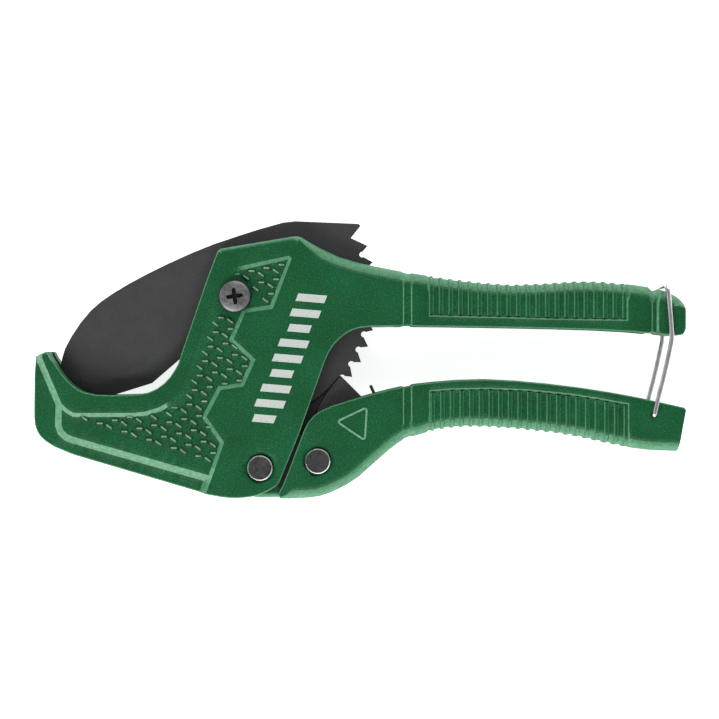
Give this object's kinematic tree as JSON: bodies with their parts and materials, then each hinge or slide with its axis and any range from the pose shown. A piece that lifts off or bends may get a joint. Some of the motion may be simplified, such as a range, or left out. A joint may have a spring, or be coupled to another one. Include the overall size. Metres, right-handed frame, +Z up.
{
  "type": "pvc pipe cutter",
  "caption": "Hand ratchet cutter for plastic pipe: hooked jaw, swinging toothed blade, pawl driven by the lower handle, and a wire bail that latches the handles.",
  "frame": {"origin": "centre of the bounding box in plan, on the plane that the tool lies on", "axes": "+X from the jaw towards the handle ends, +Y across the tool from the lower handle to the blade's back, +Z up through the thickness, towards the blade screw's head"},
  "size_m": [0.1932, 0.0828, 0.02],
  "materials": {
    "green_paint": "powder-coated aluminium casting, fine speckle, lighter on worn edges",
    "coated_blade": "dark grey non-stick coating with ground bevel",
    "dark_steel": "blackened steel with bright turned chamfers",
    "plain_steel": "zinc-plated steel",
    "spring_wire": "bright drawn wire"
  },
  "bodies": {
    "body": {"body_casting": "green_paint", "blade_screw": "plain_steel", "blade_bushing": "plain_steel", "blade_washer_near": "plain_steel", "blade_washer_far": "plain_steel", "blade_spring": "plain_steel", "blade_lock_washer": "dark_steel", "blade_nut": "dark_steel", "handle_pin": "dark_steel", "handle_pin_washer": "dark_steel", "handle_sleeve": "plain_steel"},
    "blade": {"blade": "coated_blade"},
    "lower_handle": {"lower_handle": "green_paint", "pawl_pin": "dark_steel", "pawl_pin_washer": "dark_steel", "handle_spring": "plain_steel"},
    "pawl": {"pawl": "coated_blade", "pawl_spring": "dark_steel"},
    "latch_bail": {"latch_bail": "spring_wire"}
  },
  "joints": [
    {"name": "blade_swing", "type": "hinge", "parent": "body", "child": "blade", "pos_m": [-0.0368, 0.01865, 0.00985], "axis": [0, 0, -1], "range_deg": [0, 70], "deforming": ["blade_spring"]},
    {"name": "handle_swing", "type": "hinge", "parent": "body", "child": "lower_handle", "pos_m": [-0.0294, -0.03205, 0.00985], "axis": [0, 0, -1], "range_deg": [0, 28], "deforming": ["handle_spring"]},
    {"name": "pawl_swing", "type": "hinge", "parent": "lower_handle", "child": "pawl", "pos_m": [-0.01235, -0.03005, 0.00985], "axis": [0, 0, -1], "range_deg": [0, 18], "stiffness_Nm_per_rad": 0.02, "deforming": ["pawl_spring"]},
    {"name": "bail_swing", "type": "hinge", "parent": "lower_handle", "child": "latch_bail", "pos_m": [0.087, -0.0165, 0.00985], "axis": [0, 0, -1], "range_deg": [0, 252]}
  ],
  "couplings": [
    {"joint": "bail_swing", "follows": "handle_swing", "ratio": 9}
  ]
}
